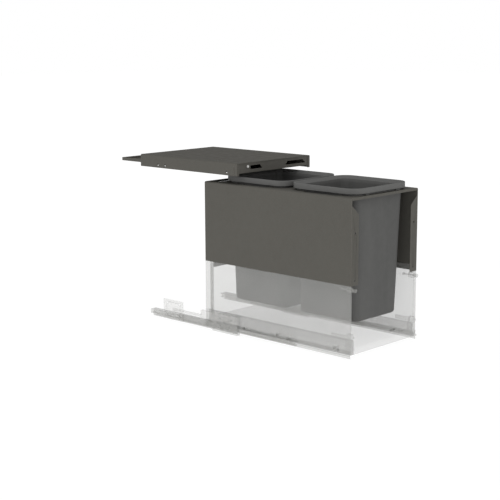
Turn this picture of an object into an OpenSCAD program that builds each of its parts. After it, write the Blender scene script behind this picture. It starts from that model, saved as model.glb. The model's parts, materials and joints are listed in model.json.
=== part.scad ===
// Pull-out waste bin unit for a narrow base cabinet, standing open.
// +X is the right-hand side, the unit pulls out towards -Y, and +Z is up.
// The origin is the centre of the four screw holes that carry the cabinet front.

/* [Bin frame] */
// Width of the bin frame over its side panels
frame_w = 245; // [204:1:294]
// Depth of the bin frame and of the drawer below it
frame_d = 460; // [383:1:552]
// Height of the dark side panels
frame_h = 197; // [164:1:237]
// Thickness of the folded steel sheet
sheet_t = 1.5; // [1:0.1:2]
// Outer radius of the folds between the sides and the top
fold_r = 3.5; // [2.5:0.5:6]
// Width of the flanges folded inwards at the front and the back
flange_w = 25.5; // [20:0.5:30]
// Height of the lip folded down along the top's front edge
lip_h = 5.7; // [4:0.1:10]
// Gap between the lip and the outer end of a flange
flange_gap = 9.8; // [4:0.1:16]
// Drop of the slanted flange end from its outer to its inner edge
flange_slant = 22.5; // [10:0.5:30]

/* [Front fixing] */
// Distance of the screw holes from the outer face of the side panel
front_hole_in = 13.5; // [10:0.5:16]
// Height of the lower screw hole above the panel's lower edge
front_hole_low = 11; // [8:0.5:20]
// Height between the two screw holes of a flange
front_hole_pitch = 107; // [80:1:120]
// Diameter of the screw holes
front_hole_d = 5; // [4:0.1:6]

/* [Bins] */
// Gap between the frame's front plane and the first rim
rim_front_gap = 6; // [4:0.5:20]
// Gap between the two rims
rim_gap = 12; // [6:0.5:16]
// Space behind the second rim
rim_rear_space = 41; // [30:0.5:60]
// Distance from the side panel's outer face to the rim
rim_side_gap = 20; // [16:0.5:30]
// Corner radius of the rim
rim_r = 34; // [28:1:45]
// Height of the rim band
rim_h = 12.5; // [10:0.5:20]
// Gap between the rim band and the top plate
rim_lift = 4.5; // [2:0.5:6]
// How far the rim stands out past the bin's wall
rim_out = 10; // [8:0.5:14]
// Outside height of a bin
bin_h = 309; // [257:1:371]
// Wall of a bin
bin_wall = 2.2; // [1.5:0.1:3]
// Corner radius of a bin's body
bin_r = 20; // [16:1:24]
// Inward slope of the side walls from top to bottom
bin_draft = 14; // [3:0.5:17]
// Inward slope of the front wall from top to bottom
bin_draft_front = 4.5; // [1:0.5:8]
// Inward slope of the rear wall from top to bottom
bin_draft_rear = 1; // [1:0.5:8]
// Radius around a bin's bottom edge
bin_edge_r = 8; // [4:1:12]
// Clearance between a bin and its opening in the top plate
bin_clear = 2.5; // [1:0.5:4]
// Width of the finger recess beside a bin
finger_w = 14.5; // [10:0.5:18]
// Distance from each end of a rim to the finger recess
finger_end = 50; // [44:1:60]

/* [Drawer] */
// Space between the bins and the base board
under_bins = 48; // [25:1:80]
// Height of the hollow rail section at the foot of a lower panel
box_h = 34; // [28:1:40]
// Width of that hollow section
box_w = 12; // [9:0.5:16]
// Thickness of the base board
base_t = 15; // [12:1:19]
// Height of the lap that joins a lower panel to the dark panel
lap_h = 14; // [10:1:20]
// Width of the hem along a lower panel's front edge
hem_w = 6; // [4:0.5:10]
// Width of the rear posts
post_w = 12; // [10:0.5:18]

/* [Runners] */
// Closing travel from this open position
travel = 341; // [284:1:409]
// Side gap between the drawer and the cabinet wall
runner_w = 11.5; // [11.5:0.1:13]
// Height of the cabinet rail
rail_h = 19; // [19:0.5:24]
// Length of the cabinet rail
rail_l = 304; // [260:1:365]
// Length of the middle rail
middle_l = 500; // [420:1:600]
// Thickness of the rails' sheet
rail_t = 1.1; // [0.9:0.1:1.3]
// Diameter of the outer balls
ball_outer_d = 2.9; // [2.6:0.1:3]
// Diameter of the inner balls
ball_inner_d = 2.4; // [2:0.1:2.5]
// Play on each side of a ball
ball_play = 0.05; // [0.03:0.01:0.08]
// Balls in each row
balls_per_row = 7; // [3:1:12]

/* [Cover] */
// Gap between the cover and each cabinet wall
cover_play = 2; // [1:0.5:4]
// Depth of the cover shelf
cover_d = 342; // [285:1:410]
// Height of the cover shelf
cover_h = 30.5; // [26:0.5:40]
// Gap between the rims and the cover's lower edge
cover_gap = 5; // [4:0.5:10]
// Width of the returns at the cover's front corners
cover_return = 8; // [6:0.5:10]
// Depth of the extension tray
tray_d = 340; // [283:1:400]
// Height of the extension tray
tray_h = 8; // [6:0.5:10]

/* [Hidden] */

// Heights
panel_z = -front_hole_low - front_hole_pitch / 2;
top_z = panel_z + frame_h;
rim_z0 = top_z + rim_lift;
rim_z1 = rim_z0 + rim_h;
bin_z0 = rim_z1 - bin_h;
foot_z = bin_z0 - under_bins - base_t;
cover_z0 = rim_z1 + cover_gap;
cover_z1 = cover_z0 + cover_h;

// Side faces and depths
side_x = frame_w / 2;
wall_x = side_x + runner_w;
cover_x = wall_x - cover_play;
rim_l = (frame_d - rim_front_gap - rim_rear_space - rim_gap) / 2;
rim_x = side_x - rim_side_gap;
rear_rim_y1 = rim_front_gap + 2 * rim_l + rim_gap;

// Front holes
hole_x = side_x - front_hole_in;
hole_z = [-front_hole_pitch / 2, front_hole_pitch / 2];

// Finishes
dark = [0.36, 0.36, 0.35];
plastic = [0.33, 0.33, 0.33];
pale = [0.85, 0.85, 0.84];
steel = [0.7, 0.7, 0.69];
zinc = [0.78, 0.78, 0.77];
white = [0.93, 0.93, 0.92];

cut = 1;
$fn = 32;

// ---- Helpers ----

// Right-hand piece as drawn, or its left-hand mirror image
module on_side(side) {
    if (side == "left") mirror([1, 0, 0]) children();
    else children();
}

// A shape drawn as [x, z], standing from y to y + thickness
module wall_xz(y, thickness) {
    translate([0, y + thickness, 0]) rotate([90, 0, 0]) linear_extrude(thickness) children();
}

// A shape drawn as [y, z], standing from x to x + thickness
module wall_yz(x, thickness) {
    translate([x, 0, 0]) rotate([90, 0, 90]) linear_extrude(thickness) children();
}

module block(low, high) {
    translate(low) cube(high - low);
}

// Round bar along Y from y0 to y1
module bar_y(x, z, y0, y1, d) {
    translate([x, y1, z]) rotate([90, 0, 0]) cylinder(d = d, h = y1 - y0);
}

// Round bar along X from x0 to x1
module bar_x(y, z, x0, x1, d) {
    translate([x0, y, z]) rotate([0, 90, 0]) cylinder(d = d, h = x1 - x0);
}

module rounded_rect(x0, x1, y0, y1, r) {
    translate([x0 + r, y0]) square([x1 - x0 - 2 * r, y1 - y0]);
    translate([x0, y0 + r]) square([x1 - x0, y1 - y0 - 2 * r]);
    for (x = [x0 + r, x1 - r], y = [y0 + r, y1 - r]) translate([x, y]) circle(r);
}

function arc(centre, r, a0, a1, steps = 6) =
    [for (i = [0 : steps]) centre + r * [cos(a0 + (a1 - a0) * i / steps), sin(a0 + (a1 - a0) * i / steps)]];

// Upside-down U of folded sheet: half width w, from z0 up to z1
function folded_u(w, z0, z1, t, r) = concat(
    [[-w, z0]], arc([-w + r, z1 - r], r, 180, 90), arc([w - r, z1 - r], r, 90, 0), [[w, z0]],
    [[w - t, z0]], arc([w - r, z1 - r], r - t, 0, 90), arc([-w + r, z1 - r], r - t, 90, 180), [[-w + t, z0]]);

// ---- Bin frame ----

// Opening of one bin in the top plate, with its two finger recesses
module bin_opening(index) {
    y0 = rim_front_gap + index * (rim_l + rim_gap);
    inset = rim_out - bin_clear;
    x = rim_x - inset;
    rounded_rect(-x, x, y0 + inset, y0 + rim_l - inset, bin_r + bin_clear);
    translate([-x - finger_w, y0 + finger_end]) square([2 * (x + finger_w), rim_l - 2 * finger_end]);
}

// Flange at the front or the back, seen from the front
module frame_flange() {
    top = top_z - lip_h - flange_gap;
    polygon([[side_x, panel_z], [side_x, top], [side_x - flange_w, top - flange_slant],
             [side_x - flange_w, panel_z]]);
}

rear_slot_margin = 7;
module bin_frame() {
    color(dark) difference() {
        union() {
            wall_xz(0, frame_d) polygon(folded_u(side_x, panel_z, top_z, sheet_t, fold_r));
            for (side = ["left", "right"], y = [0, frame_d - sheet_t])
                on_side(side) wall_xz(y, sheet_t) frame_flange();
            for (y = [0, frame_d - sheet_t])
                block([-side_x + fold_r, y, top_z - lip_h],
                      [side_x - fold_r, y + sheet_t, top_z - sheet_t / 2]);
        }
        translate([0, 0, top_z - sheet_t - cut]) linear_extrude(sheet_t + 2 * cut) {
            for (index = [0, 1]) bin_opening(index);
            translate([-hole_x, rear_rim_y1 + rear_slot_margin])
                square([2 * hole_x, frame_d - rear_rim_y1 - 2 * rear_slot_margin]);
        }
        for (x = [-hole_x, hole_x], z = hole_z) bar_y(x, z, -cut, sheet_t + cut, front_hole_d);
        for (x = [-back_screw_x, back_screw_x], z = back_screw_z)
            bar_y(x, z, frame_d - sheet_t - cut, frame_d + cut, screw_d);
    }
}

screw_d = 4;
back_drop = 20;
back_lap = 15;
back_screw_x = side_x - flange_w + back_lap / 2;
back_screw_z = [panel_z + 30, top_z - 69];
back_rise = 4;

// Back panel inside the rear flanges, hanging a little below the dark sides
module frame_back() {
    inner = side_x - flange_w;
    top = top_z - lip_h - 2;
    color(dark) difference() {
        wall_xz(frame_d - 2 * sheet_t, sheet_t) polygon([
            [-inner, panel_z - back_drop], [inner, panel_z - back_drop], [inner, panel_z + back_rise],
            [inner + back_lap, panel_z + back_rise], [inner + back_lap, top], [-inner - back_lap, top],
            [-inner - back_lap, panel_z + back_rise], [-inner, panel_z + back_rise]]);
        for (x = [-back_screw_x, back_screw_x], z = back_screw_z)
            bar_y(x, z, frame_d - 3 * sheet_t, frame_d, screw_d);
    }
}

module back_screws() {
    color(steel) for (x = [-back_screw_x, back_screw_x], z = back_screw_z) {
        bar_y(x, z, frame_d - 2 * sheet_t - 3, frame_d + 0.2, screw_d);
        bar_y(x, z, frame_d, frame_d + 2, 2 * screw_d);
    }
}

// Weld studs and hexagon nuts inside the lap between dark and lower panels
lap_y = [60, frame_d / 2, frame_d - 60];
lap_z = panel_z + lap_h / 2;
module lap_fasteners() {
    nut = 3.2;
    inner = side_x - 2 * sheet_t;
    color(steel) for (side = ["left", "right"]) on_side(side) for (y = lap_y) {
        bar_x(y, lap_z, inner - nut - 2, side_x - sheet_t, screw_d);
        translate([inner - nut, y, lap_z]) rotate([0, 90, 0]) cylinder(d = 2 * screw_d, h = nut, $fn = 6);
    }
}

// ---- Drawer ----

peg_x = side_x - 6.5;
peg_z = [foot_z + 14, foot_z + 41];
peg_d = 5;
peg_free = 5;
bracket_y0 = 13;
bracket_l = 44;
bracket_h = 10;
bracket_block = 4;
bracket_rise = 14;

// Lower side panel: a sheet with a lap at its top, a hem at the front and a hollow section at its foot
module lower_side(side) {
    inner = side_x - box_w;
    outer = side_x - sheet_t;
    lap_x = outer - sheet_t;
    box_z = foot_z + box_h;
    color(pale) on_side(side) difference() {
        union() {
            block([outer, 0, foot_z], [side_x, frame_d, panel_z]);
            block([lap_x, sheet_t, panel_z - lap_h], [outer, frame_d - 2 * sheet_t, panel_z + lap_h]);
            block([lap_x, 0, box_z + bracket_rise], [outer, hem_w, panel_z - lap_h]);
            block([inner, 0, foot_z], [inner + sheet_t, frame_d, box_z]);
            block([inner, 0, foot_z], [side_x, frame_d, foot_z + sheet_t]);
            block([inner, 0, box_z - sheet_t], [side_x, frame_d, box_z]);
        }
        for (y = lap_y) bar_x(y, lap_z, lap_x - cut, outer, screw_d);
        for (y = base_screw_y) bar_x(y, base_screw_z, inner - cut, inner + sheet_t + cut, base_screw_d);
        for (y = rail_screw_y) bar_x(y, runner_z + rail_screw_up, outer - cut, side_x + cut, rail_screw_d);
        block([inner + sheet_t, -cut, box_z - sheet_t - cut],
              [outer, bracket_y0 + bracket_block, box_z + cut]);
    }
}

board_x = side_x - box_w;
module base_board() {
    color(pale) difference() {
        block([-board_x, 0, foot_z], [board_x, frame_d, foot_z + base_t]);
        for (side = ["left", "right"]) on_side(side) for (y = base_screw_y)
            bar_x(y, base_screw_z, board_x - base_screw_l, board_x + cut, base_screw_d);
    }
}

post_gap = 0.5;
post_depth = 8;
post_hole_drop = [50, 90];
// Angle that stands on the base board and carries the back panel
module rear_post(side) {
    x1 = board_x - post_gap;
    y1 = frame_d - 2 * sheet_t;
    z0 = foot_z + base_t;
    z1 = panel_z + lap_h;
    color(pale) on_side(side) difference() {
        union() {
            block([x1 - post_w, y1 - sheet_t, z0], [x1, y1, z1]);
            block([x1 - sheet_t, y1 - post_depth, z0], [x1, y1, z1]);
        }
        for (drop = post_hole_drop)
            bar_y(x1 - post_w / 2 - sheet_t / 2, panel_z - drop, y1 - sheet_t - cut, y1 + cut, screw_d);
    }
}

base_screw_y = [55, frame_d / 2, frame_d - 55];
base_screw_z = foot_z + base_t / 2;
base_screw_d = 3;
base_screw_l = 14;
// Screws that hold the hollow sections to the edges of the base board
module base_screws() {
    head_x = board_x + sheet_t;
    color(steel) for (side = ["left", "right"]) on_side(side) for (y = base_screw_y) {
        bar_x(y, base_screw_z, board_x - base_screw_l, head_x + 1, base_screw_d);
        bar_x(y, base_screw_z, head_x, head_x + 2, 2 * base_screw_d);
    }
}

// Plate and block in the front end of the hollow section, with two pegs for the cabinet front
module front_bracket(side) {
    x0 = board_x + sheet_t;
    x1 = side_x - sheet_t;
    z0 = foot_z + box_h;
    color(pale) on_side(side) {
        difference() {
            block([x1 - 2, bracket_y0, z0], [x1, bracket_y0 + bracket_l, z0 + bracket_h]);
            bar_x(bracket_y0 + bracket_l / 2, z0 + bracket_h / 2, x1 - 3, x1 + cut, screw_d);
        }
        block([x0, 0, foot_z + sheet_t], [x1, bracket_y0 + bracket_block, z0]);
        block([x0, 0, z0], [x1, bracket_y0, z0 + bracket_rise]);
        for (z = peg_z) bar_y(peg_x, z, -peg_free, 1, peg_d);
    }
}

connector_x = side_x - 7.5;
connector_z = panel_z - 10;
connector_d = 3;
connector_y1 = 29;
knurl_y0 = -8;
knurl_l = 8;
knurl_d = 9;
// Two long screws with thick front ends that are pressed into the cabinet front
module front_connectors() {
    color(zinc) for (side = ["left", "right"]) on_side(side) {
        bar_y(connector_x, connector_z, knurl_y0 + knurl_l, connector_y1, connector_d);
        bar_y(connector_x, connector_z, knurl_y0, knurl_y0 + knurl_l, knurl_d);
        bar_y(connector_x, connector_z, connector_y1, connector_y1 + 4, 2 * connector_d);
    }
}

clip_y0 = 3;
clip_l = 12;
clip_half = 6;
// Blocks on the laps that hold the two long screws
module connector_clips() {
    x1 = side_x - 2 * sheet_t;
    color(pale) for (side = ["left", "right"]) on_side(side) difference() {
        block([board_x, clip_y0, connector_z - clip_half], [x1, clip_y0 + clip_l, connector_z + clip_half]);
        bar_y(connector_x, connector_z, clip_y0 - cut, clip_y0 + clip_l + cut, connector_d);
    }
}

// ---- Bins ----

// One level of a bin: its plan outline at height z, inset from the rim on the sides, front and rear
module bin_level(z, inset, r, front = 0, rear = 0) {
    x = rim_x - inset;
    for (sx = [-x + r, x - r], sy = [inset + front + r, rim_l - inset - rear - r])
        translate([sx, sy, z]) cylinder(r = r, h = 0.01);
}

// Level of the body's foot, pulled in by drop where the bottom edge is rounded
module bin_foot(z, shrink, drop) {
    bin_level(z, rim_out + bin_draft + shrink + drop, bin_r - shrink - drop,
              bin_draft_front - bin_draft, bin_draft_rear - bin_draft);
}

// Tapered body; shrink is 0 outside and the wall inside
module bin_body(shrink, z_bottom, z_top) {
    edge = bin_edge_r - shrink;
    hull() {
        bin_level(z_top - 0.01, rim_out + shrink, bin_r - shrink);
        bin_foot(z_bottom + edge, shrink, 0);
        bin_foot(z_bottom + 0.3 * edge, shrink, 0.3 * edge);
        bin_foot(z_bottom, shrink, edge);
    }
}

// Feet under the rim that stand on the top plate between the finger recesses
lug_w = 12;
skirt_t = 2;
lug_l = rim_out - bin_clear - skirt_t - 1.5;
lug_x = rim_x - rim_r - lug_w;
mouth_h = 7;
lip_w = 3;
lip_r = 1.2;
mouth_over = 1;
mouth_run = (rim_out + bin_wall - lip_w) / mouth_h;
module bin(index) {
    color(plastic) translate([0, rim_front_gap + index * (rim_l + rim_gap), 0]) difference() {
        union() {
            bin_body(0, bin_z0, rim_z1 - 2);
            difference() {
                hull() {
                    bin_level(rim_z0, 0, rim_r);
                    bin_level(rim_z1 - lip_r, 0, rim_r);
                    bin_level(rim_z1 - 0.3 * lip_r, 0.3 * lip_r, rim_r - 0.3 * lip_r);
                    bin_level(rim_z1 - 0.01, lip_r, rim_r - lip_r);
                }
                translate([0, 0, rim_z0 - cut]) linear_extrude(rim_h - mouth_h - 1 + cut)
                    rounded_rect(-rim_x + skirt_t, rim_x - skirt_t, skirt_t, rim_l - skirt_t,
                                 rim_r - skirt_t);
            }
            for (x = [-lug_x, lug_x], y = [skirt_t, rim_l - skirt_t - lug_l])
                block([x - lug_w / 2, y, top_z], [x + lug_w / 2, y + lug_l, rim_z1 - mouth_h]);
        }
        bin_body(bin_wall, bin_z0 + bin_wall, rim_z1 - mouth_h + mouth_over);
        hull() {
            bin_level(rim_z1 - mouth_h - mouth_over, rim_out + bin_wall + mouth_over * mouth_run,
                      bin_r - bin_wall - mouth_over * mouth_run);
            bin_level(rim_z1 + 0.1, lip_w, rim_r - lip_w);
        }
    }
}

// ---- Runners ----

// Distances outwards from the drawer's side to the parts of a runner
plate_t = 1.2;
cab_web = runner_w - plate_t;
mid_web = cab_web - rail_t - 0.9;
inner_gap = 1.2;
tongue_end = mid_web - rail_t - inner_gap - 0.2;
drawer_web_t = 1.3;
runner_z = foot_z + 1;

// Half heights, from the outside to the inside
cab_in = rail_h / 2 - rail_t;
mid_out = cab_in - ball_outer_d - 2 * ball_play;
mid_in = mid_out - rail_t;
tongue_half = mid_in - ball_inner_d - 2 * ball_play;
outer_ball_w = (cab_in + mid_out) / 2;
inner_ball_w = (mid_in + tongue_half) / 2;
outer_ball_u = 5.6;
inner_ball_u = 4.1;

rail_screw_y = [37, frame_d / 2 - 45, frame_d - 130];
rail_screw_up = 5.5;
rail_screw_d = 3;
rivet_body_d = 4;
rivet_in = 14;

middle_y0 = (travel - 27) / 2;
cage_margin = 10;
outer_cage_l = rail_l - travel / 4 - 2 * cage_margin;
outer_cage_y0 = travel + cage_margin;
inner_cage_l = frame_d - middle_y0 - 2 * cage_margin;
inner_cage_y0 = middle_y0 + cage_margin;

// A runner section drawn as [distance out from the drawer side, height from the runner's middle]
module runner_section(side, y0, length) {
    on_side(side) translate([side_x, 0, runner_z]) wall_xz(y0, length) children();
}

// Channel open towards the drawer: half height w, from u0 out to u1, with lips at its mouth
module channel(w, u0, u1, lip) {
    translate([u1 - rail_t, -w]) square([rail_t, 2 * w]);
    for (s = [-1, 1]) {
        translate([u0, s > 0 ? w - rail_t : -w]) square([u1 - u0, rail_t]);
        translate([u0, s > 0 ? w - rail_t - lip : -w]) square([0.8, rail_t + lip]);
    }
}

module cabinet_rail(side) {
    color(zinc) difference() {
        runner_section(side, travel, rail_l) channel(rail_h / 2, 2.2, cab_web, 1);
        rail_rivet_bars(side, cut);
    }
}

// Rivets through the cabinet rail's web and the plates behind it; extra lengthens them for a cut
module rail_rivet_bars(side, extra = 0) {
    on_side(side) for (y = [travel + 30, travel + 60, plate_y0 + rivet_in, plate_y0 + plate_l - rivet_in])
        bar_x(y, runner_z, side_x + cab_web - rail_t - extra, wall_x + extra, rivet_body_d);
}

module rail_rivets() {
    color(steel) for (side = ["left", "right"]) rail_rivet_bars(side);
}

module middle_rail(side) {
    color(zinc) runner_section(side, middle_y0, middle_l) channel(mid_out, 1.8, mid_web, 0.6);
}

module drawer_rail(side) {
    web = rail_h / 2 - 1;
    color(zinc) difference() {
        runner_section(side, 0, frame_d) {
            translate([0, -web]) square([drawer_web_t, 2 * web]);
            translate([0, -tongue_half]) square([tongue_end, 2 * tongue_half]);
        }
        on_side(side) for (y = rail_screw_y)
            bar_x(y, runner_z + rail_screw_up, side_x - cut, side_x + drawer_web_t + cut, rail_screw_d);
    }
}

// Screws that hold the drawer rails to the lower side panels, heads inside the hollow section
module rail_screws() {
    x = side_x - sheet_t;
    color(steel) for (side = ["left", "right"]) on_side(side) for (y = rail_screw_y) {
        bar_x(y, runner_z + rail_screw_up, x - 1, side_x + drawer_web_t, rail_screw_d);
        bar_x(y, runner_z + rail_screw_up, x - 1.6, x, 2 * rail_screw_d);
    }
}

function ball_y(y0, length) = [for (i = [0 : balls_per_row - 1]) y0 + length * (i + 0.5) / balls_per_row];

module balls(side, y0, length, u, w, d) {
    color(steel) on_side(side) for (y = ball_y(y0, length), s = [-1, 1])
        translate([side_x + u, y, runner_z + s * w]) sphere(d = d);
}

// Ball cage: a thin channel with a pocket round each ball
module cage(side, y0, length, u, w, d, web_u0, web_u1, half) {
    pocket = d + 2 * ball_play;
    color(white) difference() {
        runner_section(side, y0, length) {
            translate([web_u0, -half]) square([web_u1 - web_u0, 2 * half]);
            for (s = [-1, 1])
                translate([u - d / 2 - 0.5, s * w - 0.45])
                    square([web_u1 - u + d / 2 + 0.5, 0.9]);
        }
        on_side(side) for (y = ball_y(y0, length), s = [-1, 1])
            translate([side_x + u, y, runner_z + s * w - 1]) cylinder(d = pocket, h = 2);
    }
}

module outer_cage(side) {
    u1 = cab_web - rail_t - 0.2;
    cage(side, outer_cage_y0, outer_cage_l, outer_ball_u, outer_ball_w, ball_outer_d,
         u1 - 0.5, u1, outer_ball_w + 0.45);
}

module inner_cage(side) {
    u1 = mid_web - rail_t - 0.3;
    cage(side, inner_cage_y0, inner_cage_l, inner_ball_u, inner_ball_w, ball_inner_d,
         u1 - 0.6, u1, inner_ball_w + 0.45);
}

bracket_rail_l = 86;
bracket_up = 33;
bracket_down = 13;
rib_t = 3;
rib_count = 5;
fix_hole_d = 4.4;
bracket_hole_y = travel + 21;
bracket_hole_pitch = 37;
fix_hole_z = runner_z + 22;
// Ribbed bracket that holds the cabinet rail's front end on the cabinet wall
module rail_bracket(side) {
    top0 = runner_z + rail_h / 2;
    low1 = runner_z - rail_h / 2;
    z0 = runner_z - bracket_down;
    z1 = runner_z + bracket_up;
    u1 = side_x + cab_web;
    rib_pitch = (bracket_rail_l - 12 - rib_t) / (rib_count - 1);
    color(pale) difference() {
        on_side(side) union() {
            block([u1, travel, z0], [wall_x, travel + bracket_rail_l, z1]);
            block([side_x + 2.2, travel, top0], [u1, travel + 12, z1]);
            block([side_x + 2.2, travel, z0], [u1, travel + bracket_rail_l, low1]);
            block([side_x + 2.2, travel, top0], [u1, travel + bracket_rail_l, top0 + 2]);
            for (i = [1 : rib_count - 1])
                block([side_x + 4, travel + 12 + i * rib_pitch, top0],
                      [u1, travel + 12 + i * rib_pitch + rib_t, z1]);
        }
        on_side(side) for (y = [0, bracket_hole_pitch])
            bar_x(bracket_hole_y + y, fix_hole_z, u1 - cut, wall_x + cut, fix_hole_d);
        rail_rivet_bars(side, cut);
    }
}

plate_l = 73;
plate_y0 = travel + rail_l - plate_l - 41;
plate_up = 42;
plate_hole_pitch = 45;
plate_hole_up = 33;
// Plate that holds the cabinet rail's rear end on the cabinet wall
module rail_rear_plate(side) {
    u1 = side_x + cab_web;
    color(pale) difference() {
        on_side(side)
            block([u1, plate_y0, runner_z - rail_h / 2],
                  [wall_x, plate_y0 + plate_l, runner_z + plate_up]);
        on_side(side) for (y = [0, plate_hole_pitch])
            bar_x(plate_y0 + (plate_l - plate_hole_pitch) / 2 + y, runner_z + plate_hole_up,
                  u1 - cut, wall_x + cut, fix_hole_d);
        rail_rivet_bars(side, cut);
    }
}

damper_box_l = 42;
damper_l = 104;
damper_d = 7;
// Soft-close cassette above the cabinet rail: catch housing and damper tube
module soft_close(side) {
    y0 = travel + bracket_rail_l;
    z0 = runner_z + rail_h / 2;
    u0 = side_x + 2.2;
    u1 = side_x + cab_web;
    color(pale) on_side(side) {
        block([u0, y0, z0], [u1, y0 + damper_box_l, z0 + 22]);
        bar_y((u0 + u1) / 2, z0 + damper_d, y0 + damper_box_l, y0 + damper_box_l + damper_l, damper_d);
        block([u1 - 1.5, y0 + damper_box_l, z0], [u1, y0 + damper_box_l + damper_l, z0 + 3]);
    }
}

// ---- Cover ----

cover_hole_z = cover_z0 + 8;
cover_hole_y = [34, 251, 277];
cover_hole_d = 5.5;
cover_y1 = travel + cover_d;
rivet_x = [cover_x - 42, cover_x - 27];
rivet_y = [travel + 92, cover_y1 - 28];
rivet_d = 5;
rivet_shank_d = 3;
groove_y = travel + 7;
groove_w = 2.4;
groove_depth = 0.8;

// Fixed shelf above the bins: a folded top with side walls and front returns
module cover_shelf() {
    color(dark) difference() {
        union() {
            wall_xz(travel, cover_d) polygon(folded_u(cover_x, cover_z0, cover_z1, sheet_t, fold_r));
            for (side = ["left", "right"]) on_side(side)
                block([cover_x - cover_return, travel, cover_z0],
                      [cover_x - sheet_t / 2, travel + sheet_t, cover_z1 - (sheet_t + fold_r) / 2]);
        }
        for (y = cover_hole_y) bar_x(travel + y, cover_hole_z, -cover_x - cut, cover_x + cut, cover_hole_d);
        for (side = ["left", "right"]) on_side(side)
            block([cover_x - groove_depth, groove_y, cover_z0 - cut],
                  [cover_x + cut, groove_y + groove_w, cover_z1 - fold_r]);
        for (side = ["left", "right"]) on_side(side) for (x = rivet_x, y = rivet_y)
            translate([x, y, cover_z1 - sheet_t - cut]) cylinder(d = rivet_d, h = sheet_t + 2 * cut);
    }
}

window_z = [cover_z0 + 13, cover_z0 + 22];
window_in = 42;
stop_x = 39 - cover_x;
stop_z = cover_z0 + 20.5;
stop_d = 6;

// Cut of a window, narrower at its top by slant0 and slant1
module window(x0, x1, slant0, slant1) {
    polygon([[x0, window_z[0]], [x1, window_z[0]], [x1 - slant1, window_z[1]], [x0 + slant0, window_z[1]]]);
}

cross_foot = 100;
// Bar across the cover's front, with two windows and a deep foot under the tray's front end
module cover_crossbar() {
    y0 = travel + sheet_t;
    x = cover_x - sheet_t - 0.5;
    foot_x = guide_x - guide_foot - 1;
    low = tray_z0 - tray_play - sheet_t;
    under = cover_z1 - sheet_t;
    color(dark) {
        difference() {
            wall_xz(y0, sheet_t) difference() {
                translate([-x, low]) square([2 * x, under - low - fold_r]);
                window(49 - cover_x, -window_in, 0, 7);
                window(window_in, cover_x - 14, 8, 12);
            }
            bar_y(stop_x, stop_z, y0 - cut, y0 + sheet_t + cut, stop_d / 2);
        }
        block([-x + fold_r, y0, under - fold_r - 1], [x - fold_r, y0 + sheet_t, under]);
        block([-x + fold_r, y0, under - sheet_t], [x - fold_r, y0 + 10, under]);
        block([-foot_x, y0, low], [foot_x, y0 + cross_foot, low + sheet_t]);
    }
}

tray_x = cover_x - 15;
tray_z0 = cover_z0 + 7;
guide_x = tray_x + 1;
guide_foot = 9;
tray_play = 0.3;
// Angle under the cover on which the extension tray slides
module lid_guide(side) {
    y0 = travel + 14;
    y1 = cover_y1 - 3;
    top = cover_z1 - sheet_t;
    low = tray_z0 - tray_play;
    color(dark) on_side(side) difference() {
        union() {
            block([rivet_x[0] - 7, y0, top - sheet_t], [guide_x + sheet_t, y1, top]);
            block([guide_x, y0, low - sheet_t], [guide_x + sheet_t, y1, top]);
            block([guide_x - guide_foot, y0, low - sheet_t], [guide_x + sheet_t, y1, low]);
        }
        for (x = rivet_x, y = rivet_y)
            translate([x, y, top - 2 * sheet_t]) cylinder(d = rivet_shank_d, h = 3 * sheet_t);
    }
}

// Rivets that hold the guides, with heads sunk into the cover's top
module cover_rivets() {
    head_z0 = cover_z1 - sheet_t;
    tail = 1;
    color(steel) for (side = ["left", "right"]) on_side(side) for (x = rivet_x, y = rivet_y) {
        translate([x, y, head_z0]) cylinder(d = rivet_d, h = sheet_t - 0.3);
        translate([x, y, head_z0 - sheet_t - tail]) cylinder(d = rivet_shank_d, h = sheet_t + tail);
        translate([x, y, head_z0 - sheet_t - tail]) cylinder(d = rivet_d, h = tail);
    }
}

// Small white stop button at the left of the crossbar
module lid_stop() {
    y0 = travel + sheet_t;
    color(white) {
        bar_y(stop_x, stop_z, y0 - 2.2, y0, stop_d);
        bar_y(stop_x, stop_z, y0 - 1, y0 + sheet_t + 2, stop_d / 2);
    }
}

tray_over = 13.5;
tray_y1 = travel + rear_rim_y1 + tray_over;
// Shallow tray that lengthens the cover to the back of the cabinet
module lid_tray() {
    color(dark) difference() {
        block([-tray_x, tray_y1 - tray_d, tray_z0], [tray_x, tray_y1, tray_z0 + tray_h]);
        block([-tray_x + sheet_t, tray_y1 - tray_d + sheet_t, tray_z0 + sheet_t],
              [tray_x - sheet_t, tray_y1 - sheet_t, tray_z0 + tray_h + cut]);
    }
}

bin_frame();
frame_back();
back_screws();
lap_fasteners();
lower_side("left");  // lower_side_left
lower_side("right");  // lower_side_right
base_board();
base_screws();
rear_post("left");  // rear_post_left
rear_post("right");  // rear_post_right
front_bracket("left");  // front_bracket_left
front_bracket("right");  // front_bracket_right
front_connectors();
connector_clips();
drawer_rail("left");  // drawer_rail_left
drawer_rail("right");  // drawer_rail_right
rail_screws();
bin(0);  // bin_front
bin(1);  // bin_rear
middle_rail("left");  // middle_rail_left
middle_rail("right");  // middle_rail_right
outer_cage("left");  // outer_cage_left
outer_cage("right");  // outer_cage_right
inner_cage("left");  // inner_cage_left
inner_cage("right");  // inner_cage_right
balls("left", outer_cage_y0, outer_cage_l, outer_ball_u, outer_ball_w, ball_outer_d);  // outer_balls_left
balls("right", outer_cage_y0, outer_cage_l, outer_ball_u, outer_ball_w, ball_outer_d);  // outer_balls_right
balls("left", inner_cage_y0, inner_cage_l, inner_ball_u, inner_ball_w, ball_inner_d);  // inner_balls_left
balls("right", inner_cage_y0, inner_cage_l, inner_ball_u, inner_ball_w, ball_inner_d);  // inner_balls_right
cabinet_rail("left");  // cabinet_rail_left
cabinet_rail("right");  // cabinet_rail_right
rail_bracket("left");  // rail_bracket_left
rail_bracket("right");  // rail_bracket_right
rail_rear_plate("left");  // rail_rear_plate_left
rail_rear_plate("right");  // rail_rear_plate_right
rail_rivets();
soft_close("left");  // soft_close_left
soft_close("right");  // soft_close_right
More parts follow.
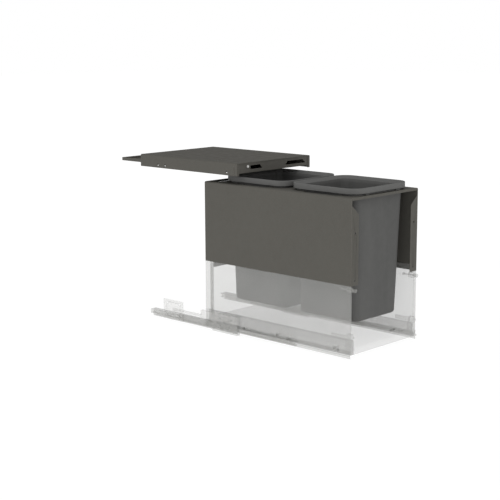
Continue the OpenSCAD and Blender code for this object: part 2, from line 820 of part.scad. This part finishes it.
cover_shelf();
cover_crossbar();
lid_guide("left");  // lid_guide_left
lid_guide("right");  // lid_guide_right
cover_rivets();
lid_stop();
lid_tray();
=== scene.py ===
"""Looks of a pull-out waste bin unit: coated steel, moulded bins, see-through lower panels and runners."""

import json
import math

import bmesh
import bpy
from mathutils import Matrix, Vector


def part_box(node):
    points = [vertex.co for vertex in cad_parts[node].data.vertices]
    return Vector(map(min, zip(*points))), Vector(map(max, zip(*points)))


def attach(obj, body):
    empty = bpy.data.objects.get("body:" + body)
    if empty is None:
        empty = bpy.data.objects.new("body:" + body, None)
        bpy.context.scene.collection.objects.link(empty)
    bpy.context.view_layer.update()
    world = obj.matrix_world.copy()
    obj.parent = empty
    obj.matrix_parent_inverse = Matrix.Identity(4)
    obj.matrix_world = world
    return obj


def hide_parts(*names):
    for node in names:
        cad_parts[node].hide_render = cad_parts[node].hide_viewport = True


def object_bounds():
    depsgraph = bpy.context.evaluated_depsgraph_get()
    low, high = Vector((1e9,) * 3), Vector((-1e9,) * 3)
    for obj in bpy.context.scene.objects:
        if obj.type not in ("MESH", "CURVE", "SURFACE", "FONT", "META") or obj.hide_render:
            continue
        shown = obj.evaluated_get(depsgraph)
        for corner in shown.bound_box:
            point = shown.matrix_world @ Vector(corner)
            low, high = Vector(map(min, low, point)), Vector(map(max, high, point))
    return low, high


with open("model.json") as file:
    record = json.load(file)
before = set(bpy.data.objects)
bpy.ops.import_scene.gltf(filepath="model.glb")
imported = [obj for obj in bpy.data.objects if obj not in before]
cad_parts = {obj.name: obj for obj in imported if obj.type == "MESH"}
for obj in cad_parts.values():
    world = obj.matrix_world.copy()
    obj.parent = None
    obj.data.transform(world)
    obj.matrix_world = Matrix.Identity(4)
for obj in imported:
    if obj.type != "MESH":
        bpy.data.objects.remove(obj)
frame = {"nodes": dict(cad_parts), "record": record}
cad_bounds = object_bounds()

MM = 0.001
scene = bpy.context.scene


# ---- Node materials ----

class Graph:
    """A material with a Principled surface whose inputs are built from small node chains."""

    def __init__(self, name, **constants):
        self.material = bpy.data.materials.new(name)
        self.material.use_nodes = True
        self.nodes = self.material.node_tree.nodes
        self.links = self.material.node_tree.links
        self.surface = self.nodes["Principled BSDF"]
        for socket, value in constants.items():
            self.surface.inputs[socket.replace("_", " ")].default_value = value
        self.place = self.add("ShaderNodeTexCoord").outputs["Object"]

    def add(self, kind, **settings):
        made = self.nodes.new(kind)
        for key, value in settings.items():
            setattr(made, key, value)
        return made

    def put(self, socket, source):
        """Feeds a socket from another socket, or gives it a plain value."""
        if isinstance(source, bpy.types.NodeSocket):
            self.links.new(source, socket)
        else:
            socket.default_value = source

    def noise(self, scale, detail=3.0, stretch=(1, 1, 1)):
        mapping = self.add("ShaderNodeMapping")
        mapping.inputs["Scale"].default_value = stretch
        self.put(mapping.inputs["Vector"], self.place)
        texture = self.add("ShaderNodeTexNoise")
        self.put(texture.inputs["Vector"], mapping.outputs["Vector"])
        texture.inputs["Scale"].default_value = scale
        texture.inputs["Detail"].default_value = detail
        return texture.outputs["Fac"]

    def cells(self, scale):
        texture = self.add("ShaderNodeTexVoronoi")
        self.put(texture.inputs["Vector"], self.place)
        texture.inputs["Scale"].default_value = scale
        return texture.outputs["Distance"]

    def above(self, low, high):
        """0 below the height low, 1 above the height high."""
        parts = self.add("ShaderNodeSeparateXYZ")
        self.put(parts.inputs["Vector"], self.place)
        return self.spread(parts.outputs["Z"], 0.0, 1.0, low, high)

    def spread(self, source, low, high, from_low=0.35, from_high=0.65):
        """Stretches the middle of a noise to the range low to high."""
        made = self.add("ShaderNodeMapRange")
        for name, value in (("Value", source), ("From Min", from_low), ("From Max", from_high),
                            ("To Min", low), ("To Max", high)):
            self.put(made.inputs[name], value)
        return made.outputs["Result"]

    def math(self, operation, a, b):
        made = self.add("ShaderNodeMath", operation=operation, use_clamp=True)
        self.put(made.inputs[0], a)
        self.put(made.inputs[1], b)
        return made.outputs[0]

    def mix(self, factor, a, b):
        made = self.add("ShaderNodeMix", data_type="RGBA")
        for name, value in (("Factor", factor), ("A", a), ("B", b)):
            sockets = [s for s in made.inputs if s.name == name and s.enabled]
            self.put(sockets[0], value)
        return [s for s in made.outputs if s.enabled][0]

    def edges(self, radius):
        """1 on convex and concave edges, 0 on flat faces."""
        rounded = self.add("ShaderNodeBevel", samples=4)
        rounded.inputs["Radius"].default_value = radius
        flat = self.add("ShaderNodeNewGeometry")
        dot = self.add("ShaderNodeVectorMath", operation="DOT_PRODUCT")
        self.put(dot.inputs[0], rounded.outputs["Normal"])
        self.put(dot.inputs[1], flat.outputs["Normal"])
        return self.spread(dot.outputs["Value"], 1.0, 0.0, 0.88, 0.997)

    def bump(self, layers):
        """Stacks bump layers of (height, depth in metres)."""
        normal = None
        for height, depth in layers:
            made = self.add("ShaderNodeBump")
            made.inputs["Distance"].default_value = depth
            self.put(made.inputs["Height"], height)
            if normal is not None:
                self.put(made.inputs["Normal"], normal)
            normal = made.outputs["Normal"]
        self.put(self.surface.inputs["Normal"], normal)

    def finish(self, colour, roughness):
        self.put(self.surface.inputs["Base Color"], colour)
        self.put(self.surface.inputs["Roughness"], roughness)
        return self.material


def tone(colour, factor=1.0):
    return tuple(c * factor for c in colour) + (1.0,)


def powder_coat(name, colour):
    """Satin powder coat: orange peel, fine speckle, and edges a little paler, partly wear and partly a
    painted highlight along the folds.
    """
    g = Graph(name, Specular_IOR_Level=0.12)
    speckle = g.noise(1400, 2)
    patches = g.noise(9, 4)
    body = g.mix(g.spread(speckle, 0, 1), tone(colour, 0.88), tone(colour, 1.12))
    body = g.mix(g.spread(patches, 0, 0.3), body, tone(colour, 1.08))
    # Edges lighter: partly wear, partly a painted highlight where the folds catch the light.
    wear_and_highlight = g.math("MULTIPLY", g.edges(1.1 * MM), g.spread(g.noise(120, 5), 0.2, 0.7))
    body = g.mix(wear_and_highlight, body, tone(colour, 2.2))
    g.bump([(g.noise(650, 2), 0.05 * MM), (speckle, 0.02 * MM)])
    return g.finish(body, g.spread(g.noise(60, 5), 0.55, 0.7))


# Heights over which the bin rims are painted paler, a painted light from above on the rim band.
RIM_PAINTED_LIGHT_HEIGHTS = (134 * MM, 138 * MM)


def moulded_plastic(name, colour):
    """Matt moulded plastic: spark-eroded grain, faint flow streaks down the walls, rims painted paler as a
    painted light from above, and edges paler, partly rubbed and partly a painted highlight.
    """
    g = Graph(name, Specular_IOR_Level=0.15)
    grain = g.cells(1500)
    streaks = g.noise(22, 4, stretch=(1, 1, 0.12))
    body = g.mix(g.spread(streaks, 0, 1), tone(colour, 0.93), tone(colour, 1.07))
    body = g.mix(g.spread(grain, 0, 0.35, 0.1, 0.7), body, tone(colour, 0.8))
    # Rim band painted paler: a painted light from above.
    body = g.mix(g.above(*RIM_PAINTED_LIGHT_HEIGHTS), body, tone(colour, 1.25))
    # Edges lighter: partly rubbed, partly a painted highlight on the rim bead.
    rubbed_and_highlight = g.math("MULTIPLY", g.edges(1.4 * MM), g.spread(g.noise(90, 4), 0.4, 0.9))
    body = g.mix(rubbed_and_highlight, body, tone(colour, 2.2))
    g.bump([(grain, 0.05 * MM), (g.noise(14, 2), 0.35 * MM)])
    return g.finish(body, g.spread(g.noise(75, 5), 0.52, 0.66))


def clear_sheet(name, colour, alpha):
    """Pale see-through sheet with a faint cloudiness and a soft orange peel."""
    g = Graph(name, Alpha=alpha, Specular_IOR_Level=0.12)
    cloud = g.noise(14, 5)
    body = g.mix(g.spread(cloud, 0, 1), tone(colour, 0.96), tone(colour, 1.04))
    body = g.mix(g.math("MULTIPLY", g.edges(1.1 * MM), 0.85), body, tone(colour, 0.4))
    g.bump([(g.noise(500, 2), 0.06 * MM)])
    return g.finish(body, g.spread(g.noise(50, 4), 0.38, 0.52))


def faced_board(name, colour, alpha):
    """Pale melamine-faced board: fine pores and a weak grain along its length."""
    g = Graph(name, Alpha=alpha, Specular_IOR_Level=0.12)
    grain = g.noise(60, 5, stretch=(1, 0.08, 1))
    pores = g.noise(900, 2, stretch=(1, 0.25, 1))
    body = g.mix(g.spread(grain, 0, 1), tone(colour, 0.96), tone(colour, 1.04))
    body = g.mix(g.spread(pores, 0, 0.4), body, tone(colour, 0.92))
    g.bump([(pores, 0.05 * MM)])
    return g.finish(body, g.spread(g.noise(70, 4), 0.42, 0.56))


def rolled_steel(name, colour, alpha, metallic):
    """Zinc-plated profile: rolling lines along Y, spangle, and duller patches."""
    g = Graph(name, Alpha=alpha, Metallic=metallic)
    lines = g.noise(1100, 3, stretch=(1, 0.012, 1))
    spangle = g.cells(260)
    body = g.mix(g.spread(lines, 0, 1), tone(colour, 0.86), tone(colour, 1.12))
    body = g.mix(g.spread(spangle, 0, 0.35, 0.1, 0.8), body, tone(colour, 0.85))
    body = g.mix(g.math("MULTIPLY", g.edges(0.8 * MM), 0.8), body, tone(colour, 0.45))
    g.bump([(lines, 0.03 * MM)])
    return g.finish(body, g.spread(g.noise(140, 4), 0.34, 0.5))


def ribbed_plastic(name, colour, alpha):
    """Moulded fitting: fine grain and small tone changes."""
    g = Graph(name, Alpha=alpha, Specular_IOR_Level=0.3)
    grain = g.cells(1300)
    body = g.mix(g.spread(g.noise(45, 4), 0, 1), tone(colour, 0.93), tone(colour, 1.05))
    body = g.mix(g.math("MULTIPLY", g.edges(1.3 * MM), 0.9), body, tone(colour, 0.3))
    g.bump([(grain, 0.04 * MM)])
    return g.finish(body, g.spread(g.noise(200, 3), 0.45, 0.6))


def studio_floor(name):
    """White floor that glows a little, so that only its tone and not a horizon shows."""
    g = Graph(name, Emission_Color=(1, 1, 1, 1), Emission_Strength=0.9)
    body = g.mix(g.spread(g.noise(3, 4), 0, 1), (0.13, 0.13, 0.13, 1), (0.16, 0.16, 0.16, 1))
    g.bump([(g.noise(300, 3), 0.05 * MM)])
    return g.finish(body, g.spread(g.noise(8, 3), 0.7, 0.8))


MATERIALS = {
    "dark_steel": powder_coat("dark_steel", (0.098, 0.094, 0.083)),
    "bin_plastic": moulded_plastic("bin_plastic", (0.101, 0.101, 0.098)),
    "pale_panel": clear_sheet("pale_panel", (0.5, 0.5, 0.485), 0.29),
    "pale_board": faced_board("pale_board", (0.57, 0.57, 0.555), 0.2),
    "pale_fitting": ribbed_plastic("pale_fitting", (0.62, 0.62, 0.6), 0.24),
    "zinc_rail": rolled_steel("zinc_rail", (0.47, 0.47, 0.45), 0.28, 0.3),
    "cage_plastic": ribbed_plastic("cage_plastic", (0.62, 0.62, 0.6), 0.25),
    "bright_steel": rolled_steel("bright_steel", (0.5, 0.5, 0.49), 1.0, 0.9),
    "white_plastic": ribbed_plastic("white_plastic", (0.72, 0.72, 0.7), 1.0),
}


# ---- CAD nodes: materials and softened sheet edges ----

# Width of the rounding on a slot's sharp edges
EDGE = {"dark_steel": 0.35 * MM, "pale_panel": 0.25 * MM, "pale_board": 0.6 * MM,
        "pale_fitting": 0.5 * MM, "zinc_rail": 0.2 * MM}
WELD_GAP = 0.01 * MM
SHARP = math.radians(40)
slot_of = {part["node"]: part["material_slot"] for part in frame["record"]["subparts"]}


def soften(obj, width):
    """Merges the imported corners, then rounds the sharp edges."""
    weld = obj.modifiers.new("weld", "WELD")
    weld.merge_threshold = WELD_GAP
    bevel = obj.modifiers.new("bevel", "BEVEL")
    bevel.width = width
    bevel.segments = 2
    bevel.limit_method = "ANGLE"
    bevel.angle_limit = SHARP
    obj.modifiers.new("normals", "WEIGHTED_NORMAL").keep_sharp = True


for name, obj in frame["nodes"].items():
    for socket in obj.material_slots:
        socket.material = MATERIALS[slot_of[name]]
    if slot_of[name] in EDGE:
        soften(obj, EDGE[slot_of[name]])


# ---- Bins ----

# Rim: height, overhang past the body, corner radius, width and rounding of its lip, skirt thickness
RIM_H, RIM_OUT, RIM_R = 12.5 * MM, 10 * MM, 34 * MM
LIP, LIP_R, SKIRT = 3 * MM, 1.2 * MM, 2 * MM
CHAMFER = 0.4 * MM
# Body: depth of the sloping mouth, wall, corner radii, and how far each wall leans in at the foot
MOUTH, WALL = 7 * MM, 2.2 * MM
BODY_R, EDGE_R = 20 * MM, 8 * MM
DRAFT_SIDE, DRAFT_FRONT, DRAFT_REAR = 14 * MM, 4.5 * MM, 1 * MM
WALL_LEVELS = (0.35, 0.7)
# Small feet under the rim
FOOT_X, FOOT_W, FOOT_L, FOOT_H = 56.5 * MM, 12 * MM, 4 * MM, 4.5 * MM
FOOT_EDGE = 0.5 * MM
CORNER_STEPS = 14
ARC_STEPS = 6
CREASE = math.radians(32)


def ring(low, high, z, side, front, rear, radius):
    """Rounded rectangle at height z, set in from the box's plan, as a closed list of points."""
    x, y0, y1 = high.x - side, low.y + front, high.y - rear
    points = []
    for cx, cy, start in ((x - radius, y1 - radius, 0), (radius - x, y1 - radius, 90),
                          (radius - x, y0 + radius, 180), (x - radius, y0 + radius, 270)):
        for i in range(CORNER_STEPS + 1):
            a = math.radians(start + 90 * i / CORNER_STEPS)
            points.append(Vector((cx + radius * math.cos(a), cy + radius * math.sin(a), z)))
    return points


def bin_rings(low, high):
    """Profile of a bin from its outer floor, over the rim, down to its inner floor."""
    top = high.z
    quarter = [math.pi / 2 * i / ARC_STEPS for i in range(ARC_STEPS + 1)]

    def body(z, shrink, drop):
        """Wall at height z; drop pulls it further in at the rounded bottom edge."""
        f = min((top - z) / (top - low.z - EDGE_R), 1.0)
        inset = RIM_OUT + shrink + drop
        insets = (inset + lean * f for lean in (DRAFT_SIDE, DRAFT_FRONT, DRAFT_REAR))
        return ring(low, high, z, *insets, BODY_R - shrink - drop)

    def floor_arc(z0, radius, shrink):
        """Rounded bottom edge, from the floor up to the wall."""
        return [body(z0 + radius * (1 - math.cos(t)), shrink, radius * (1 - math.sin(t))) for t in quarter]

    def lip(z, inset):
        """Level of the rim."""
        return ring(low, high, z, inset, inset, inset, RIM_R - inset)

    rim_low = top - RIM_H
    under = top - MOUTH - MM
    heights = [low.z + part * (top - low.z) for part in WALL_LEVELS]
    mouth_inset = RIM_OUT + WALL
    mouth_foot = ring(low, high, top - MOUTH, mouth_inset, mouth_inset, mouth_inset, BODY_R - WALL)
    rings = floor_arc(low.z, EDGE_R, 0)
    rings += [body(z, 0, 0) for z in heights + [under]]
    rings += [lip(under, SKIRT), lip(rim_low + CHAMFER, SKIRT), lip(rim_low, SKIRT - CHAMFER)]
    rings += [lip(rim_low, CHAMFER), lip(rim_low + CHAMFER, 0)]
    rings += [lip(top - LIP_R * (1 - math.sin(t)), LIP_R * (1 - math.cos(t))) for t in quarter]
    rings += [lip(top, LIP - 0.5 * MM), lip(top - CHAMFER, LIP + 0.2 * MM), mouth_foot]
    rings += [body(z, WALL, 0) for z in (top - MOUTH - 2 * MM, *heights[::-1])]
    rings += floor_arc(low.z + WALL, EDGE_R - WALL, WALL)[::-1]
    return rings


def add_foot(bm, low, high, x, y0, y1):
    """Small block under the rim that stands on the top plate."""
    z0, z1 = high.z - RIM_H - FOOT_H, high.z - MOUTH - 0.5 * MM
    place = Matrix.Translation((x, (y0 + y1) / 2, (z0 + z1) / 2))
    scale = Matrix.Diagonal((FOOT_W, y1 - y0, z1 - z0, 1))
    made = bmesh.ops.create_cube(bm, size=1, matrix=place @ scale)
    edges = {e for v in made["verts"] for e in v.link_edges}
    bmesh.ops.bevel(bm, geom=list(edges), offset=FOOT_EDGE, segments=2, affect="EDGES")


def build_bin(node, body):
    """Thin shell of one bin in place of its CAD node, riding on its body."""
    low, high = (Vector(corner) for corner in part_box(node))
    bm = bmesh.new()
    loops = [[bm.verts.new(p) for p in points] for points in bin_rings(low, high)]
    count = len(loops[0])
    for a, b in zip(loops, loops[1:]):
        for i in range(count):
            j = (i + 1) % count
            bm.faces.new((a[i], a[j], b[j], b[i]))
    bm.faces.new(loops[0][::-1])
    bm.faces.new(loops[-1])
    bmesh.ops.remove_doubles(bm, verts=bm.verts, dist=0.005 * MM)
    for x in (-FOOT_X, FOOT_X):
        add_foot(bm, low, high, x, low.y + SKIRT, low.y + SKIRT + FOOT_L)
        add_foot(bm, low, high, x, high.y - SKIRT - FOOT_L, high.y - SKIRT)
    bmesh.ops.recalc_face_normals(bm, faces=bm.faces)
    for face in bm.faces:
        face.smooth = True
    mesh = bpy.data.meshes.new(node + "_shell")
    bm.to_mesh(mesh)
    bm.free()
    mesh.set_sharp_from_angle(angle=CREASE)
    mesh.materials.append(MATERIALS["bin_plastic"])
    shell = bpy.data.objects.new(node + "_shell", mesh)
    scene.collection.objects.link(shell)
    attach(shell, body)
    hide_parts(node)


build_bin("bin_front", "front_bin")
build_bin("bin_rear", "rear_bin")


# ---- Studio ----

def plane(name, size, z, material):
    mesh = bpy.data.meshes.new(name)
    h = size / 2
    mesh.from_pydata([(-h, -h, z), (h, -h, z), (h, h, z), (-h, h, z)], [], [(0, 1, 2, 3)])
    mesh.materials.append(material)
    obj = bpy.data.objects.new(name, mesh)
    scene.collection.objects.link(obj)
    return obj


FLOOR_SIZE = 30
FLOOR_GAP = 1 * MM
plane("floor", FLOOR_SIZE, cad_bounds[0].z - FLOOR_GAP, studio_floor("floor"))

LIGHT_SIDE = Vector((-0.78, -0.58, 0.24))
GLOW_BEHIND, GLOW_FRONT = 0.25, 1.12


def studio_world():
    """White to the eye. As a light it is brighter towards LIGHT_SIDE and dimmer on the other side."""
    made = bpy.data.worlds.new("studio")
    made.use_nodes = True
    nodes, links = made.node_tree.nodes, made.node_tree.links
    side = nodes.new("ShaderNodeVectorMath")
    side.operation = "DOT_PRODUCT"
    side.inputs[1].default_value = LIGHT_SIDE
    links.new(nodes.new("ShaderNodeTexCoord").outputs["Generated"], side.inputs[0])
    glow = nodes.new("ShaderNodeMapRange")
    for name, value in (("From Min", -1), ("From Max", 1), ("To Min", GLOW_BEHIND), ("To Max", GLOW_FRONT)):
        glow.inputs[name].default_value = value
    links.new(side.outputs["Value"], glow.inputs["Value"])
    seen = nodes.new("ShaderNodeMix")
    factor, as_light, to_the_eye = seen.inputs[0], seen.inputs[2], seen.inputs[3]
    to_the_eye.default_value = 1.0
    links.new(nodes.new("ShaderNodeLightPath").outputs["Is Camera Ray"], factor)
    links.new(glow.outputs["Result"], as_light)
    links.new(seen.outputs[0], nodes["Background"].inputs["Strength"])
    nodes["Background"].inputs["Color"].default_value = (1, 1, 1, 1)
    return made


scene.world = studio_world()


def area_light(name, place, target, size, power):
    """Square lamp at place, turned to target."""
    light = bpy.data.lights.new(name, "AREA")
    light.size = size
    light.energy = power
    obj = bpy.data.objects.new(name, light)
    obj.location = place
    obj.rotation_euler = (Vector(target) - Vector(place)).to_track_quat("-Z", "Y").to_euler()
    scene.collection.objects.link(obj)


area_light("key", place=(-3.0, -0.4, 1.4), target=(0, 0.3, 0), size=1.6, power=4)


# ---- Camera ----

AIM = Vector((-0.0251, 0.4006, -0.0443))
DISTANCE = 2.99
FOCAL, SENSOR = 86.35, 36
AZIMUTH, ELEVATION, ROLL = (math.radians(a) for a in (-46.402, 10.391, -0.259))

back = Vector((math.sin(AZIMUTH) * math.cos(ELEVATION), -math.cos(AZIMUTH) * math.cos(ELEVATION),
               math.sin(ELEVATION)))
level_right = Vector((0, 0, 1)).cross(back).normalized()
level_up = back.cross(level_right)
right = math.cos(ROLL) * level_right + math.sin(ROLL) * level_up
up = back.cross(right)

camera_data = bpy.data.cameras.new("camera")
camera_data.lens = FOCAL
camera_data.sensor_width = SENSOR
camera = bpy.data.objects.new("camera", camera_data)
turn = Matrix((right, up, back)).transposed().to_4x4()
camera.matrix_world = Matrix.Translation(AIM + back * DISTANCE) @ turn
scene.collection.objects.link(camera)
scene.camera = camera

SEE_THROUGH_LAYERS = 40
scene.view_settings.view_transform = "Standard"
scene.cycles.transparent_max_bounces = SEE_THROUGH_LAYERS
